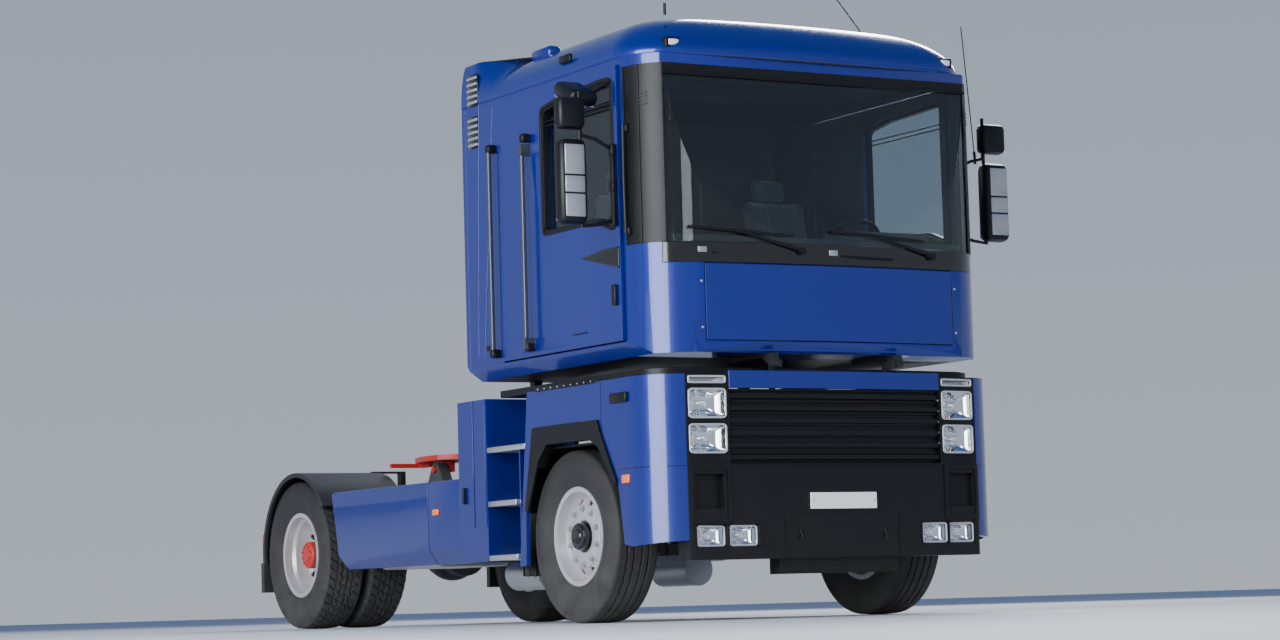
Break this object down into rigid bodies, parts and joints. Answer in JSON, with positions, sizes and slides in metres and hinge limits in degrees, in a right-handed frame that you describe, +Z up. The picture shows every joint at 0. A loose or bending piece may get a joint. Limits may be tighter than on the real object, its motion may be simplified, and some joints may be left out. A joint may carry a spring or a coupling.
{
  "type": "semi truck tractor unit",
  "caption": "Two-axle forward-control tractor unit with a flat-floored sleeper cab, steps behind the front wheels, twin rear tyres and a fifth wheel.",
  "frame": {"origin": "centre of the overall box, at ground level under the tyres", "axes": "+X forward along the length, +Y to the vehicle's left, +Z up"},
  "size_m": [5.8286, 3.26, 4.1128],
  "materials": {
    "paint": "metallic gloss",
    "black_plastic": "grained",
    "frame_black": "satin",
    "cast": "as cast",
    "alloy": "satin",
    "lens": "clear",
    "white_plate": "gloss",
    "red_lens": "clear",
    "red_paint": "satin",
    "screen_glass": "tinted",
    "trim_grey": "grained",
    "seat_cloth": "woven",
    "tyre_rubber": "worn",
    "rim_paint": "silver",
    "mud_rubber": "matt"
  },
  "bodies": {
    "chassis": {"chassis_frame": "frame_black", "engine_block": "cast", "front_axle_beam": "frame_black", "rear_axle": "frame_black", "springs": "frame_black", "propshaft": "cast", "side_tanks": "alloy", "side_skirts": "paint", "body_panels_left": "paint", "body_panels_right": "paint", "front_strip": "paint", "arch_trims": "black_plastic", "step_treads": "alloy", "grille": "black_plastic", "bumper": "black_plastic", "headlamps": "lens", "fog_lamps": "lens", "number_plate": "white_plate", "mudguards": "mud_rubber", "tail_lamps": "red_lens", "cab_deck": "black_plastic", "fifth_wheel_base": "cast"},
    "coupling_plate": {"fifth_wheel": "red_paint"},
    "cab": {"cab_floor": "frame_black", "cab_rear_wall": "paint", "cab_sides": "paint", "cab_roof": "paint", "cab_front": "paint", "windscreen": "screen_glass", "wiper_band": "black_plastic", "dashboard": "trim_grey", "seats": "seat_cloth", "bunk": "seat_cloth", "wipers": "black_plastic", "rear_grab_handles": "black_plastic", "roof_antennas": "black_plastic"},
    "left_door": {"door_left": "paint", "door_glass_left": "screen_glass", "mirrors_left": "black_plastic"},
    "right_door": {"door_right": "paint", "door_glass_right": "screen_glass", "mirrors_right": "black_plastic"},
    "front_flap": {"service_flap": "paint"},
    "hatch": {"roof_hatch": "trim_grey"},
    "steering": {"steering_wheel": "black_plastic"},
    "left_knuckle": {"knuckle_left": "cast"},
    "right_knuckle": {"knuckle_right": "cast"},
    "front_left_wheel": {"tyre_front_left": "tyre_rubber", "rim_front_left": "rim_paint"},
    "front_right_wheel": {"tyre_front_right": "tyre_rubber", "rim_front_right": "rim_paint"},
    "rear_left_wheels": {"tyres_rear_left": "tyre_rubber", "rims_rear_left": "rim_paint"},
    "rear_right_wheels": {"tyres_rear_right": "tyre_rubber", "rims_rear_right": "rim_paint"}
  },
  "joints": [
    {"name": "cab_tilt", "type": "hinge", "parent": "chassis", "child": "cab", "pos_m": [2.882, 0, 1.5], "axis": [0, 1, 0], "range_deg": [0, 60]},
    {"name": "left_door_hinge", "type": "hinge", "parent": "cab", "child": "left_door", "pos_m": [2.468, 1.224, 2.4], "axis": [0, 0, -1], "range_deg": [0, 75]},
    {"name": "right_door_hinge", "type": "hinge", "parent": "cab", "child": "right_door", "pos_m": [2.468, -1.224, 2.4], "axis": [0, 0, 1], "range_deg": [0, 75]},
    {"name": "front_flap_hinge", "type": "hinge", "parent": "cab", "child": "front_flap", "pos_m": [2.898, 0, 2.078], "axis": [0, -1, 0], "range_deg": [0, 85]},
    {"name": "roof_hatch_hinge", "type": "hinge", "parent": "cab", "child": "hatch", "pos_m": [1.298, 0, 3.662], "axis": [0, -1, 0], "range_deg": [0, 60]},
    {"name": "left_steer", "type": "hinge", "parent": "chassis", "child": "left_knuckle", "pos_m": [1.732, 0.87, 0.525], "axis": [0, 0, 1], "range_deg": [-38, 38]},
    {"name": "right_steer", "type": "hinge", "parent": "chassis", "child": "right_knuckle", "pos_m": [1.732, -0.87, 0.525], "axis": [0, 0, 1], "range_deg": [-38, 38]},
    {"name": "steering_wheel_turn", "type": "hinge", "parent": "cab", "child": "steering", "pos_m": [2.252, 0.52, 2.265], "axis": [-0.7193, 0, 0.6947], "range_deg": [-760, 760]},
    {"name": "front_left_roll", "type": "hinge", "parent": "left_knuckle", "child": "front_left_wheel", "pos_m": [1.732, 1.03, 0.525], "axis": [0, 1, 0], "continuous": true},
    {"name": "front_right_roll", "type": "hinge", "parent": "right_knuckle", "child": "front_right_wheel", "pos_m": [1.732, -1.03, 0.525], "axis": [0, 1, 0], "continuous": true},
    {"name": "rear_left_roll", "type": "hinge", "parent": "chassis", "child": "rear_left_wheels", "pos_m": [-2.238, 0.92, 0.525], "axis": [0, 1, 0], "continuous": true},
    {"name": "rear_right_roll", "type": "hinge", "parent": "chassis", "child": "rear_right_wheels", "pos_m": [-2.238, -0.92, 0.525], "axis": [0, 1, 0], "continuous": true},
    {"name": "fifth_wheel_rock", "type": "hinge", "parent": "chassis", "child": "coupling_plate", "pos_m": [-1.728, 0, 1.11], "axis": [0, 1, 0], "range_deg": [-12, 12]}
  ],
  "couplings": [
    {"joint": "right_steer", "follows": "left_steer", "ratio": 1},
    {"joint": "steering_wheel_turn", "follows": "left_steer", "ratio": 18}
  ]
}
